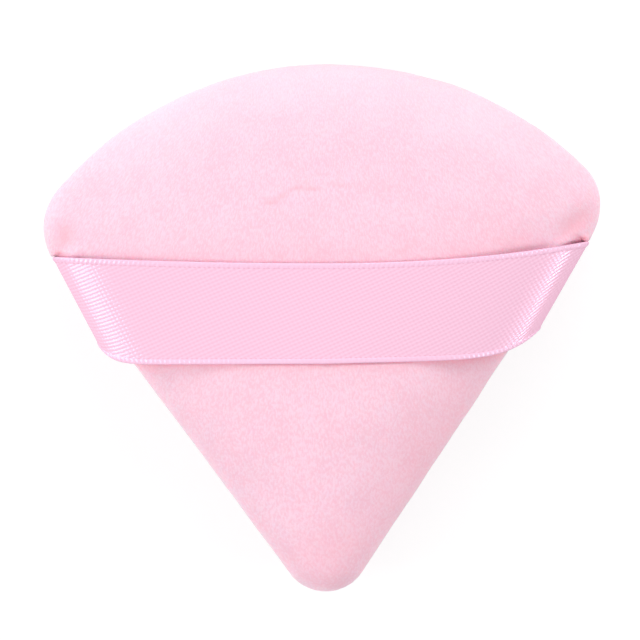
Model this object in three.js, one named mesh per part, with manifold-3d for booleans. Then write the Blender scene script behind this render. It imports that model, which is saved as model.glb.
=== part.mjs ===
// A fan-shaped powder puff: two velour covers sewn face to face and turned right side out,
// a sponge inside, and a satin ribbon whose ends are caught in the side seams as a finger strap.
// Millimetres, +Z up. The puff lies on its back cover with its tip towards -Y.
import * as THREE from "three";
import Module from "manifold-3d";

const wasm = await Module();
wasm.setup();

// Plan outline. Places are measured from the centre of the tip's rounding, which lies a little
// to the right of the middle.
const PUFF_WIDTH = 70;
const PUFF_LENGTH = 66.2;
const TIP_ACROSS = 0.455;
const TIP_RADIUS = 5.5;
const LEFT_SIDE_DEGREES = 36.6;
const RIGHT_SIDE_DEGREES = 33.5;
const LEFT_LOBE = { bulge: 0.5, radius: 7.4, endDegrees: 40 };
const RIGHT_LOBE = { bulge: 0.8, radius: 7.1, endDegrees: 47 };
const WAIST_RADIUS = 6;
const CREST_ACROSS = -0.3;
const CREST_PULL = 12;
const SHOULDER_PULL = 13.2;

// Thickness. The seam runs round the puff's edge between the two crowns.
const BACK_CROWN = 7.6;
const FRONT_CROWN = 8.6;
const CROWN_CENTRE = { across: 0, up: 35 };
const CROWN_DEPTH = 25.5;
const REST_FACE_DEPTH = 14;
const CROWN_FULLNESS = 2;
const TIP_RIDGE_RADIUS = 2.3;
const EVENING_DEGREES = 14;
const EVEN_DEPTH = 9;

// Velour, seam and thread.
const FABRIC = 1.2;
const LIP_HEIGHT = 1.4;
const SEAM_RECESS = 0.7;
const SEAM_LIP = 0.23;
const SEAM_ALLOWANCE = 2.8;
const THREAD_DIAMETER = 0.4;
const CLOSING_START = 12;
const CLOSING_MARGIN = 5;

// Satin ribbon. Its upper edge is caught level with the lobes, or a little above or below them.
const RIBBON_WIDTH = 12.5;
const RIBBON_THICKNESS = 0.4;
const LEFT_RISE = 0.7;
const RIGHT_RISE = -0.9;
const LEFT_BULGE = { upper: -0.3, lower: 2.1 };
const RIGHT_BULGE = { upper: 0, lower: 1.6 };
const STRAP_FOOT_HEIGHT = 2.2;
const STRAP_STANDOFF = { upper: 0.5, lower: 0.6 };
const STRAP_CENTRE_UP = 29.4;
const STRAP_SQUARENESS = 2.1;
const LEFT_RUN = { upper: { tilt: 0, sweep: 2 }, lower: { tilt: 0.005, sweep: 18 } };
const RIGHT_RUN = { upper: { tilt: 0, sweep: 2.2 }, lower: { tilt: 0.025, sweep: 8 } };
const PINCH = 0.8;
const PINCH_FADE = { upper: 0.9, lower: 2 };

const CLEARANCE = 0.3;
const SPONGE_EASE = 0.5;
const SEAM_Z = BACK_CROWN;

// Mesh fineness.
const ARC_STEP_DEGREES = 18;
const RIM_STEP = 4.3;
const CROWN_STEPS = 6;
const STRAP_STEPS = 36;
const TUCK_STEPS = 5;
const THREAD_SIDES = 6;

const radians = THREE.MathUtils.degToRad;

// One side: its outward normal, the lobe above it, which bulges past the straight side and ends at
// the shoulder, and the hollow arc that joins the straight side to the lobe.
function sideOf(degrees, sign, lobe) {
  const turn = radians(degrees);
  const way = new THREE.Vector2(sign * Math.sin(turn), Math.cos(turn));
  const out = new THREE.Vector2(sign * Math.cos(turn), -Math.sin(turn));
  const onSide = (along, outward) => way.clone().multiplyScalar(along).addScaledVector(out, outward);
  const lobeOut = TIP_RADIUS + lobe.bulge - lobe.radius;
  const widest = PUFF_WIDTH / 2 - sign * TIP_ACROSS;
  const alongSide = (widest - lobe.radius - lobeOut * Math.cos(turn)) / Math.sin(turn);
  const lobeCentre = onSide(alongSide, lobeOut);
  const lobeTurn = radians(lobe.endDegrees);
  const shoulderOut = new THREE.Vector2(sign * Math.cos(lobeTurn), Math.sin(lobeTurn));
  const apart = lobe.radius + WAIST_RADIUS;
  const across = apart - lobe.bulge;
  const down = Math.sqrt(apart ** 2 - across ** 2);
  const waistCentre = onSide(alongSide - down, TIP_RADIUS + WAIST_RADIUS);
  const waistToLobe = lobeCentre.clone().sub(waistCentre);
  const shoulder = lobeCentre.clone().addScaledVector(shoulderOut, lobe.radius);
  const shoulderWay = new THREE.Vector2(-sign * shoulderOut.y, sign * shoulderOut.x);
  const shoulderPull = shoulder.clone().addScaledVector(shoulderWay, SHOULDER_PULL);
  return { out, alongSide, lobeCentre, shoulderOut, waistCentre, waistToLobe, shoulder, shoulderPull };
}

const leftSide = sideOf(LEFT_SIDE_DEGREES, -1, LEFT_LOBE);
const rightSide = sideOf(RIGHT_SIDE_DEGREES, 1, RIGHT_LOBE);
const leftReach = leftSide.alongSide + LEFT_RISE;
const rightReach = rightSide.alongSide + RIGHT_RISE;

// The outline runs anticlockwise from the foot of the left side, each stretch touching the next.
function outlinePath() {
  const path = new THREE.Path();
  const addArc = (centre, radius, from, to, clockwise) => {
    path.absarc(centre.x, centre.y, radius, from.angle(), to.angle(), clockwise);
  };
  const addCurve = (pullA, pullB, to) => {
    path.bezierCurveTo(pullA.x, pullA.y, pullB.x, pullB.y, to.x, to.y);
  };
  const tip = new THREE.Vector2(0, 0);
  const crest = new THREE.Vector2(CREST_ACROSS, PUFF_LENGTH - TIP_RADIUS);
  const crestPull = new THREE.Vector2(CREST_PULL, 0);
  const inward = (direction) => direction.clone().negate();
  const { lobeCentre: rightLobe, waistCentre: rightWaist, waistToLobe: toRightLobe } = rightSide;
  const { lobeCentre: leftLobe, waistCentre: leftWaist, waistToLobe: toLeftLobe } = leftSide;
  addArc(tip, TIP_RADIUS, leftSide.out, rightSide.out, false);
  addArc(rightWaist, WAIST_RADIUS, inward(rightSide.out), toRightLobe, true);
  addArc(rightLobe, RIGHT_LOBE.radius, inward(toRightLobe), rightSide.shoulderOut, false);
  addCurve(rightSide.shoulderPull, crest.clone().add(crestPull), crest);
  addCurve(crest.clone().sub(crestPull), leftSide.shoulderPull, leftSide.shoulder);
  addArc(leftLobe, LEFT_LOBE.radius, leftSide.shoulderOut, inward(toLeftLobe), false);
  addArc(leftWaist, WAIST_RADIUS, toLeftLobe, inward(leftSide.out), true);
  path.closePath();
  return path;
}

const outline = outlinePath();
const outlineLength = outline.getLength();
const tipLength = outline.curves[0].getLength();

// How far the ribbon draws the edge in, at a distance round the outline.
function drawnIn(run) {
  const { smoothstep } = THREE.MathUtils;
  const spanned = (reach, upper) =>
    smoothstep(reach, upper - RIBBON_WIDTH - PINCH_FADE.lower, upper - RIBBON_WIDTH) *
    smoothstep(-reach, -upper - PINCH_FADE.upper, -upper);
  return PINCH * (spanned(run - tipLength, rightReach) + spanned(outlineLength - run, leftReach));
}

// Distances round the outline where the ribbon's pull starts, is full and stops.
function pinchKnots() {
  const reaches = (upper) => [
    upper + PINCH_FADE.upper,
    upper,
    upper - RIBBON_WIDTH,
    upper - RIBBON_WIDTH - PINCH_FADE.lower,
  ];
  return [
    ...reaches(rightReach).map((reach) => tipLength + reach),
    ...reaches(leftReach).map((reach) => outlineLength - reach),
  ];
}

// Points round the outline, close together on arcs, each with its inward normal. Lines too short
// to see, which only close the rounding between two arcs, are passed over.
function outlinePoints() {
  const knots = pinchKnots();
  const runs = [...knots];
  let start = 0;
  for (const curve of outline.curves) {
    const length = curve.getLength();
    const turn = curve.getTangent(0).angleTo(curve.getTangent(1));
    const steps = Math.ceil(Math.max(length / RIM_STEP, turn / radians(ARC_STEP_DEGREES)));
    for (let i = 0; i < steps && length > CLEARANCE; i++) {
      const run = start + (length * i) / steps;
      if (knots.every((knot) => Math.abs(knot - run) > PINCH_FADE.upper)) runs.push(run);
    }
    start += length;
  }
  return runs.sort((a, b) => a - b).map((run) => {
    const tangent = outline.getTangent(run / outlineLength);
    const inward = new THREE.Vector2(-tangent.y, tangent.x);
    return { at: outline.getPoint(run / outlineLength), inward, drawn: drawnIn(run) };
  });
}

const rim = outlinePoints();
const crownCentre = new THREE.Vector2(CROWN_CENTRE.across, CROWN_CENTRE.up);
const EDGE_ROLL = TIP_RADIUS - TIP_RIDGE_RADIUS;

// Lines from the crown's centre to the outline moved inward along its normals. The ribbon's pull
// draws the outline in, and that dies out as the edge rolls over.
function spokesAt(depth) {
  const pull = 1 - depth / EDGE_ROLL;
  return rim.map(({ at, inward, drawn }) =>
    at.clone().addScaledVector(inward, depth + drawn * pull).sub(crownCentre));
}

// The length that a spoke would have if the outline's hollows and corners were evened out.
function evenedLengths(spokes) {
  return spokes.map((spoke) => {
    const turns = spokes.map((other) => spoke.angleTo(other) / radians(EVENING_DEGREES));
    const nearness = turns.map((turn) => Math.exp(-(turn ** 2)));
    const total = nearness.reduce((sum, weight) => sum + weight);
    return spokes.reduce((sum, other, i) => sum + nearness[i] * other.length(), 0) / total;
  });
}

const rolledLengths = evenedLengths(spokesAt(EDGE_ROLL));

// The outline moved inward: along its normals near the edge, then evened out and drawn to the
// crown's centre, growing rounder.
function ring(depth) {
  const { lerp, smoothstep } = THREE.MathUtils;
  const crownRadius = CROWN_DEPTH - EDGE_ROLL;
  const share = Math.max(0, (depth - EDGE_ROLL) / crownRadius);
  const evened = smoothstep(depth, EDGE_ROLL, EVEN_DEPTH);
  return spokesAt(Math.min(depth, EDGE_ROLL)).map((spoke, i) => {
    const reach = lerp(spoke.length(), rolledLengths[i], evened);
    return spoke.setLength(lerp(reach, crownRadius, share) * (1 - share)).add(crownCentre);
  });
}

function geometryOf(positions, index) {
  const geometry = new THREE.BufferGeometry();
  geometry.setAttribute("position", new THREE.Float32BufferAttribute(positions, 3));
  geometry.setIndex(index);
  geometry.computeVertexNormals();
  return geometry;
}

// A solid swept round the outline from a profile of [depth, z] points. A profile whose ends lie
// at the crown's depth closes there, and any other is a closed loop.
function sweep(profile) {
  const onAxis = (point) => point[0] >= CROWN_DEPTH;
  const count = rim.length;
  const positions = [];
  const rows = profile.map((point) => {
    const first = positions.length / 3;
    const places = onAxis(point) ? [crownCentre] : ring(point[0]);
    places.forEach((place) => positions.push(place.x, place.y, point[1]));
    return (j) => first + (j % places.length);
  });
  const index = [];
  const bands = onAxis(profile[0]) ? rows.length - 1 : rows.length;
  for (let i = 0; i < bands; i++) {
    const a = rows[i];
    const b = rows[(i + 1) % rows.length];
    for (let j = 0; j < count; j++) {
      if (a(j) !== a(j + 1)) index.push(a(j), b(j), a(j + 1));
      if (b(j) !== b(j + 1)) index.push(a(j + 1), b(j), b(j + 1));
    }
  }
  return geometryOf(positions, index);
}

// A cover's outer face from its lip to its crown, as [depth, height above the seam] points.
// It rises steeply at the edge and levels off at the given depth.
function outerFace(crown, levelDepth) {
  const face = [];
  for (let i = 0; i <= CROWN_STEPS; i++) {
    const inside = Math.cos((i / CROWN_STEPS) * (Math.PI / 2));
    const share = Math.sqrt(1 - inside ** CROWN_FULLNESS);
    face.push([levelDepth * (1 - inside), LIP_HEIGHT + (crown - LIP_HEIGHT) * share]);
  }
  return face;
}

// The same face moved in by a thickness, square to itself, where that is above a floor height.
function innerFace(face, thickness, floor) {
  const moved = face.map((point, i) => {
    const before = face[Math.max(0, i - 1)];
    const after = face[i + 1] ?? [point[0] + thickness, point[1]];
    const run = after[0] - before[0];
    const climb = after[1] - before[1];
    const size = Math.hypot(run, climb);
    return [point[0] + (thickness * climb) / size, point[1] - (thickness * run) / size];
  });
  const [levelDepth, crown] = face.at(-1);
  moved[moved.length - 1] = [levelDepth, crown - thickness];
  return moved.filter((point) => point[1] > floor && point[0] <= levelDepth);
}

// A face carried level from where it stops to the crown's centre.
const toCentre = (face) =>
  face.at(-1)[0] < CROWN_DEPTH ? [...face, [CROWN_DEPTH, face.at(-1)[1]]] : face;

// One cover with its turned-in seam allowance, from the crown's outside to the crown's inside.
function coverProfile(crown, levelDepth) {
  const mouth = CLEARANCE / 2;
  const outer = outerFace(crown, levelDepth);
  const inner = innerFace(outer, FABRIC, mouth + FABRIC + CLEARANCE);
  return [
    ...toCentre(outer).toReversed(),
    [SEAM_LIP, (mouth + LIP_HEIGHT) / 2],
    [SEAM_RECESS, mouth],
    [SEAM_ALLOWANCE, mouth],
    [SEAM_ALLOWANCE, mouth + FABRIC],
    [inner[0][0], mouth + FABRIC],
    ...toCentre(inner),
  ];
}

// The sponge's half in one cover: it fills the cover and stops short of the seam allowance.
function spongeHalf(crown, levelDepth) {
  const side = SEAM_ALLOWANCE + CLEARANCE;
  const face = innerFace(outerFace(crown, levelDepth), FABRIC + SPONGE_EASE, 0);
  const next = face.findIndex((point) => point[0] > side);
  const [d0, h0] = face[next - 1];
  const [d1, h1] = face[next];
  const edge = [side, h0 + ((h1 - h0) * (side - d0)) / (d1 - d0)];
  return toCentre([edge, ...face.slice(next)]);
}

const above = (profile) => profile.map(([depth, height]) => [depth, SEAM_Z + height]);
const below = (profile) => profile.map(([depth, height]) => [depth, SEAM_Z - height]);
const spongeProfile = [
  ...above(spongeHalf(FRONT_CROWN, CROWN_DEPTH)).toReversed(),
  ...below(spongeHalf(BACK_CROWN, REST_FACE_DEPTH)),
];

// A thread that runs right round the puff on the inner side of a seam allowance.
function threadProfile() {
  const radius = THREAD_DIAMETER / 2;
  const height = CLEARANCE / 2 + FABRIC + CLEARANCE + radius;
  const profile = [];
  for (let i = 0; i < THREAD_SIDES; i++) {
    const turn = (i / THREAD_SIDES) * 2 * Math.PI;
    profile.push([SEAM_ALLOWANCE - radius + radius * Math.cos(turn), height + radius * Math.sin(turn)]);
  }
  return profile;
}

// Where a ribbon edge is caught in a seam, with the way out from the puff there.
function caughtAt(reach, onRight) {
  const share = (onRight ? tipLength + reach : outlineLength - reach) / outlineLength;
  const tangent = outline.getTangent(share);
  return { at: outline.getPoint(share), out: new THREE.Vector2(tangent.y, -tangent.x) };
}

// Both ribbon edges at one side, widened by a margin.
function caughtEnds(onRight, margin) {
  const reach = onRight ? rightReach : leftReach;
  const bulge = onRight ? RIGHT_BULGE : LEFT_BULGE;
  return {
    upper: { ...caughtAt(reach + margin, onRight), bulge: bulge.upper },
    lower: { ...caughtAt(reach - RIBBON_WIDTH - margin, onRight), bulge: bulge.lower },
  };
}

// A place square out from where the ribbon is caught.
function outFrom(end, distance, height) {
  const place = end.at.clone().addScaledVector(end.out, distance);
  return new THREE.Vector3(place.x, place.y, SEAM_Z + height);
}

// The free span of one edge: an arch from foot to foot, level over the crown.
function archOf(name, upFromCentre) {
  const ends = [caughtEnds(false, 0)[name], caughtEnds(true, 0)[name]];
  const [leftFoot, rightFoot] = ends.map((end) => outFrom(end, end.bulge, STRAP_FOOT_HEIGHT));
  const half = (rightFoot.x - leftFoot.x) / 2;
  const centre = (rightFoot.x + leftFoot.x) / 2;
  const crown = SEAM_Z + FRONT_CROWN + STRAP_STANDOFF[name];
  const squared = (share) => Math.sign(share) * Math.abs(share) ** (2 / STRAP_SQUARENESS);
  const arch = [];
  for (let i = 0; i <= STRAP_STEPS; i++) {
    const turn = (i / STRAP_STEPS) * Math.PI;
    const side = -squared(Math.cos(turn));
    const x = centre + half * side;
    const [foot, run] = side < 0 ? [leftFoot, LEFT_RUN[name]] : [rightFoot, RIGHT_RUN[name]];
    const level = STRAP_CENTRE_UP + upFromCentre + run.tilt * x;
    const y = THREE.MathUtils.lerp(level, foot.y, Math.abs(side) ** run.sweep);
    arch.push(new THREE.Vector3(x, y, THREE.MathUtils.lerp(foot.z, crown, squared(Math.sin(turn)))));
  }
  return arch;
}

// The tucked end of one edge: it rounds inward below the foot and runs on into the seam.
function tuckOf(end, margin) {
  const startHeight = STRAP_FOOT_HEIGHT - CLEARANCE;
  const tuck = [];
  for (let i = 0; i <= TUCK_STEPS; i++) {
    const turn = (i / TUCK_STEPS) * (Math.PI / 2);
    const distance = (end.bulge + SEAM_RECESS + PINCH) * Math.cos(turn) - SEAM_RECESS - PINCH;
    tuck.push(outFrom(end, distance, startHeight * (1 - Math.sin(turn))));
  }
  tuck.push(outFrom(end, CLEARANCE - SEAM_ALLOWANCE - margin, 0));
  return tuck;
}

// A strip of ribbon between two edge lines with the same number of points.
function strip(upper, lower, thickness) {
  const last = upper.length - 1;
  const sections = upper.map((_, i) => {
    const across = lower[i].clone().sub(upper[i]);
    const [first, second] = [upper, lower].map((line) => {
      const along = line[Math.min(last, i + 1)].clone().sub(line[Math.max(0, i - 1)]);
      const normal = along.cross(across).setLength(thickness / 2);
      return { top: line[i].clone().add(normal), under: line[i].clone().sub(normal) };
    });
    return [first.top, second.top, second.under, first.under];
  });
  const positions = sections.flat().flatMap((point) => point.toArray());
  const corners = sections[0].length;
  const end = corners * last;
  const index = [];
  for (let j = 0; j < corners; j++) {
    const next = (j + 1) % corners;
    for (let a = 0; a < end; a += corners) {
      index.push(a + j, a + corners + j, a + next, a + next, a + corners + j, a + corners + next);
    }
    if (j > 0 && next > 0) index.push(0, j, next, end, end + next, end + j);
  }
  return geometryOf(positions, index);
}

// One end of the ribbon, or with a margin the room that the seam leaves for it.
function tail(onRight, margin) {
  const { upper, lower } = caughtEnds(onRight, margin);
  const [first, second] = onRight ? [lower, upper] : [upper, lower];
  return strip(tuckOf(first, margin), tuckOf(second, margin), RIBBON_THICKNESS + 2 * margin);
}

function solidOf(geometry) {
  const vertProperties = geometry.attributes.position.array;
  const triVerts = Uint32Array.from(geometry.index.array);
  return new wasm.Manifold(new wasm.Mesh({ numProp: 3, vertProperties, triVerts }));
}

// A cover with room in its seam for both ends of the ribbon.
function coverSolid(profile) {
  const rooms = [tail(false, CLEARANCE), tail(true, CLEARANCE)].map(solidOf);
  const mesh = rooms.reduce((solid, room) => solid.subtract(room), solidOf(sweep(profile))).getMesh();
  return geometryOf(mesh.vertProperties, Array.from(mesh.triVerts));
}

// The opening that was left for the sponge is sewn up in the seam below the ribbon's left end.
function closingThread() {
  const radius = THREAD_DIAMETER / 2;
  const [from, to] = [CLOSING_START, leftReach - RIBBON_WIDTH - CLOSING_MARGIN].map((reach) =>
    outFrom(caughtAt(reach, false), -SEAM_LIP, 0),
  );
  const way = to.clone().sub(from);
  const upright = new THREE.Vector3(0, 1, 0);
  const turn = new THREE.Quaternion().setFromUnitVectors(upright, way.clone().normalize());
  const centre = from.lerp(to, 0.5);
  const geometry = new THREE.CylinderGeometry(radius, radius, way.length(), THREAD_SIDES);
  return geometry.applyQuaternion(turn).translate(centre.x, centre.y, centre.z);
}

const clothOf = (color, roughness) => new THREE.MeshStandardMaterial({ color, roughness, metalness: 0 });
const velour = () => clothOf(0xfdd6e8, 0.95);
const satin = () => clothOf(0xfcd0e8, 0.35);
const sponge = () => clothOf(0xfcf1f3, 0.9);
const thread = () => clothOf(0xf9bcd6, 0.6);

const puff = new THREE.Group();
function addPiece(name, geometry, cloth) {
  const mesh = new THREE.Mesh(geometry, cloth());
  mesh.name = name;
  puff.add(mesh);
}

addPiece("front_cover", coverSolid(above(coverProfile(FRONT_CROWN, CROWN_DEPTH))), velour);
addPiece("back_cover", coverSolid(below(coverProfile(BACK_CROWN, REST_FACE_DEPTH)).toReversed()), velour);
addPiece("sponge_core", sweep(spongeProfile), sponge);
addPiece("needle_thread", sweep(above(threadProfile())), thread);
addPiece("bobbin_thread", sweep(below(threadProfile()).toReversed()), thread);
addPiece("closing_thread", closingThread(), thread);
const upperArch = archOf("upper", RIBBON_WIDTH / 2);
const lowerArch = archOf("lower", -RIBBON_WIDTH / 2);
addPiece("ribbon_strap", strip(upperArch, lowerArch, RIBBON_THICKNESS), satin);
addPiece("ribbon_left_tail", tail(false, 0), satin);
addPiece("ribbon_right_tail", tail(true, 0), satin);

// The part's origin is under the middle of the outline.
const extent = new THREE.Box2().setFromPoints(rim.map((point) => point.at));
const middle = extent.getCenter(new THREE.Vector2());
puff.position.set(-middle.x, -middle.y, 0);

const part = new THREE.Group();
part.add(puff);

export default part;
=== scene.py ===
# A fan-shaped powder puff: two velour covers over a sponge, with a satin ribbon as a finger strap.
import math

import bpy
import numpy as np
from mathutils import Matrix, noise

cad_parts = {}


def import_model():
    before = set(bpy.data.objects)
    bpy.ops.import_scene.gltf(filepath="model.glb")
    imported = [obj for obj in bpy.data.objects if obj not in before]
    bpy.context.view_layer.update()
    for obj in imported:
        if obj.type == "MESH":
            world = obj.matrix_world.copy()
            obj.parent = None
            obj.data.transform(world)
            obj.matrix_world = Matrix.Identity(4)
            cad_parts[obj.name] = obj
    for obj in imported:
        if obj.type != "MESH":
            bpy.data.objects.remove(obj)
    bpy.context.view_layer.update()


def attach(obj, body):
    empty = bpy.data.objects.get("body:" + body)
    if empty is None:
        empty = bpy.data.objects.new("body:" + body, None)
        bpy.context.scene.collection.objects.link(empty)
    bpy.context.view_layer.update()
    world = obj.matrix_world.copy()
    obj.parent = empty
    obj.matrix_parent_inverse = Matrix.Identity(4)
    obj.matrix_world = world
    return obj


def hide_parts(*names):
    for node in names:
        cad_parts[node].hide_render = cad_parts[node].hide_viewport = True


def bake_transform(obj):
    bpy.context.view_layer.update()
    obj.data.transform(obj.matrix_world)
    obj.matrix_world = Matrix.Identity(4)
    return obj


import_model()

MM = 0.001
TINY = 1e-12

# Plan outline in millimetres, measured from the centre of the tip's rounding.
PUFF_WIDTH = 70
PUFF_LENGTH = 66.2
TIP_ACROSS = 0.455
TIP_RADIUS = 5.5
SIDES = {
    "left": {"sign": -1, "degrees": 36.6, "bulge": 0.5, "radius": 7.4, "end": 40},
    "right": {"sign": 1, "degrees": 33.5, "bulge": 0.8, "radius": 7.1, "end": 47},
}
WAIST_RADIUS = 6
CREST_ACROSS = -0.3
CREST_PULL = 12
SHOULDER_PULL = 13.2

# Thickness: the crowns' heights from the seam, and how far in from the edge they are full.
# Past the rolled edge the outline's hollows are evened out, fully at the even depth.
BACK_CROWN = 7.6
FRONT_CROWN = 8.6
CROWN_CENTRE = np.array([0, 35])
CROWN_DEPTH = 25.5
REST_FACE_DEPTH = 14
TIP_RIDGE_RADIUS = 2.3
EVENING_DEGREES = 14
EVEN_DEPTH = 9
EDGE_ROLL = TIP_RADIUS - TIP_RIDGE_RADIUS
SEAM_Z = BACK_CROWN

# Velour, seam and thread.
FABRIC = 1.2
LIP_HEIGHT = 1.4
SEAM_RECESS = 0.7
SEAM_ALLOWANCE = 2.8
SEAM_GAP = 0.3
SPONGE_EASE = 0.5
THREAD_RADIUS = 0.17
STITCH_PITCH = 2.4
STITCH_DIP_POWER = 8
CLOSING_START = 12
CLOSING_MARGIN = 5
CLOSING_PITCH = 2.0
CLOSING_SQUARENESS = 1.6

# Satin ribbon, and how its ends pinch the covers. Its upper edge is caught a rise past each lobe's middle.
# An edge bulges out from the rim to its foot, and its sweep says how late it bends towards the foot.
RIBBON_WIDTH = 12.5
RIBBON_THICKNESS = 0.24
RISE = {"left": 0.7, "right": -0.9}
BULGE = {"left": {"upper": -0.3, "lower": 2.1}, "right": {"upper": 0, "lower": 1.6}}
FOOT_HEIGHT = {"upper": 2.2, "lower": 1.9}
STANDOFF = {"upper": 0.38, "lower": -0.1}
STRAP_CENTRE_UP = 29.4
STRAP_SQUARENESS = {"upper": 2.1, "lower": 1.8}
TILT = {"left": {"upper": 0, "lower": 0.005}, "right": {"upper": 0, "lower": 0.025}}
SWEEP = {"left": {"upper": 2, "lower": 18}, "right": {"upper": 2.2, "lower": 8}}
FOOT_GAP = 0.3
CORNER_LIFT = {"left": 0.12, "right": 0.3}
PINCH = 0.65
PINCH_FADE_BELOW = 2
PINCH_FADE_ABOVE = {"front": 0.35, "back": 1.8}

# Five-end satin: binding points repeat along each warp end and step across to the next one.
FLOAT_LENGTH = 1.2
WARP_PITCH = 0.2
FLOAT_STEP = 0.48
FLOAT_SLANT = FLOAT_STEP / (FLOAT_LENGTH * WARP_PITCH)
BINDING_STEP = 2
FLOAT_RELIEF = 0.015
ROW_SHARE = 0.7

# Corded selvedges, with a row of dots beside each.
SELVEDGE = 0.62
SELVEDGE_RISE = 0.07
RIB_PITCH = 0.62
RIB_DEPTH = 0.6
RIB_SLANT = 0.4
DOT_ROW = 0.69
DOT_SIZE = 0.11
DOT_BEAT = 0.2
DOT_SHARE = 0.45

# How the padding eases the covers' creases: from which depth, fully at which, and over how many passes.
EASE_START = 0.6
EASE_FULL = 5
EASE_PASSES = 260

# How the covers swell over the sponge: a coarse cloth, larger than life so that Cloth takes it well.
# It starts a little sunken and is blown out from inside, and no point moves further than the cap.
CLOTH_GRID = 50
CLOTH_SCALE = 10
CLOTH_PRESSURE = {"front": 18.0, "back": 4.0}
CLOTH_FRAMES = 20
CLOTH_CAP = 1.4
CLOTH_START = 0.96
CLOTH_PASSES = 60

# What the simulation leaves out: room under the ribbon, and a fuller front that fades out up the puff.
RIBBON_CLEAR = 0.12
FULLNESS = 0.3
FULL_BELOW = (2, 18)

# The velour's nap: heights of its strokes and waves, and their sizes across, along and up.
NAP_STROKE = 0.022
NAP_STROKE_SIZE = np.array([0.55, 1.3, 0.55])
NAP_WAVE = 0.09
NAP_WAVE_SIZE = np.array([4.0, 5.5, 4.0])
NAP_SHIFT = np.array([17.3, 5.1, 9.7])
NAP_SEED = {"front": 1, "back": 2}

# Marks in the front, placed from the part's middle: what the ribbon's pull and handling leave, with painted
# shade in the dents and folds, and wide regions of painted shade (redder) and painted light (paler). Spread
# is along and across the turn. The last value is painted shading: above nothing it is painted shade that
# reddens the pile, and below nothing painted light that pales it.
MARKS = [
    # Dents at the ribbon's ends, with painted shade in them.
    {"at": (-32.2, 11.4), "spread": (1.9, 1.3), "turn": 70, "rise": -0.4, "painted_shading": 0.36},
    {"at": (31.6, 13.0), "spread": (2.6, 1.4), "turn": 40, "rise": -0.45, "painted_shading": 0.42},
    {"at": (-31.0, 9.4), "spread": (1.1, 0.7), "turn": -5, "rise": 0.45, "painted_shading": 0},
    {"at": (29.8, 10.3), "spread": (2.2, 0.6), "turn": 33, "rise": 0.4, "painted_shading": 0},
    # Painted shade in the small folds where the ribbon's upper corners go into the seam.
    {"at": (-33.1, 9.35), "spread": (0.8, 0.35), "turn": -4, "rise": 0.15, "painted_shading": 0.5},
    {"at": (32.8, 11.2), "spread": (0.8, 0.4), "turn": 8, "rise": 0.32, "painted_shading": 0.8},
    # Shallow creases above the ribbon, with painted shade in them.
    {"at": (-6.5, 15.6), "spread": (0.9, 0.26), "turn": 3, "rise": -0.06, "painted_shading": 0.34},
    {"at": (-5.0, 16.4), "spread": (0.9, 0.32), "turn": 28, "rise": -0.06, "painted_shading": 0.34},
    {"at": (-3.1, 17.4), "spread": (1.1, 0.32), "turn": 10, "rise": -0.06, "painted_shading": 0.3},
    {"at": (-1.2, 17.3), "spread": (1.0, 0.28), "turn": 0, "rise": -0.06, "painted_shading": 0.34},
    {"at": (2.3, 17.8), "spread": (1.2, 0.32), "turn": -3, "rise": -0.04, "painted_shading": 0.2},
    # Painted shade: the lower right side and the tip redder.
    {"at": (13.4, -16.5), "spread": (17, 5), "turn": 55, "rise": 0, "painted_shading": 0.2},
    {"at": (0.2, -28.5), "spread": (5, 4), "turn": 0, "rise": 0, "painted_shading": 0.15},
    # Painted light: a paler band along the top edge.
    {"at": (0, 32.6), "spread": (12, 5.3), "turn": 0, "rise": 0, "painted_shading": -0.33},
    {"at": (-19, 27.5), "spread": (12, 5.3), "turn": 28, "rise": 0, "painted_shading": -0.3},
    {"at": (19, 27.5), "spread": (12, 5.3), "turn": -28, "rise": 0, "painted_shading": -0.3},
]

# Painted shade where the ribbon's lower edge lies on the front, and where it ends at the sides.
CONTACT_SHADE = 0.55
CONTACT_FADE = 0.6
CONTACT_SQUARENESS = 4
CONTACT_ENDS = (23, 29)

# The sponge's open cells.
PORE_RELIEF = 0.12
PORE_SIZE = 0.9

# Mesh fineness: points, grid cells and the ribbon's step. The hidden seam allowance counts short.
ARC_POINTS = 200
CURVE_POINTS = 400
DOME_POINTS = 300
LIP_POINTS = 40
TUCK_POINTS = 60
ARCH_POINTS = 601
OUTLINE_POINTS = 6000
EVENING_POINTS = 1500
COVER_GRID = 400
LINING_GRID = 80
ALLOWANCE_SHARE = 0.15
SPONGE_GRID = 100
RIBBON_STEP = 0.11
RIBBON_ACROSS = 126
RIBBON_UNDER = 14
THREAD_SIDES = 8
STITCH_POINTS = 10
CLOSING_POINTS = 12

# Colours.
VELOUR_PALE = (0.985, 0.668, 0.785, 1)
VELOUR_DEEP = (0.955, 0.568, 0.685, 1)
# Painted shade and painted light for the front's velour.
VELOUR_PAINTED_SHADE = (1.0, 0.38, 0.45, 1)
VELOUR_PAINTED_LIGHT = (1.0, 0.86, 0.95, 1)
VELOUR_SHEEN = (1, 0.94, 0.99, 1)
SATIN_PALE = (0.965, 0.61, 0.775, 1)
SATIN_DEEP = (0.92, 0.53, 0.69, 1)
SATIN_DOT = (0.82, 0.365, 0.51, 1)
SATIN_EDGE = (0.2, 0.12, 0.16, 1)
SELVEDGE_PALE = (0.965, 0.60, 0.78, 1)
SPONGE_PALE = (0.97, 0.88, 0.90, 1)
SPONGE_DEEP = (0.90, 0.74, 0.78, 1)
THREAD_PALE = (0.95, 0.52, 0.68, 1)
THREAD_DEEP = (0.82, 0.36, 0.53, 1)

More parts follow.
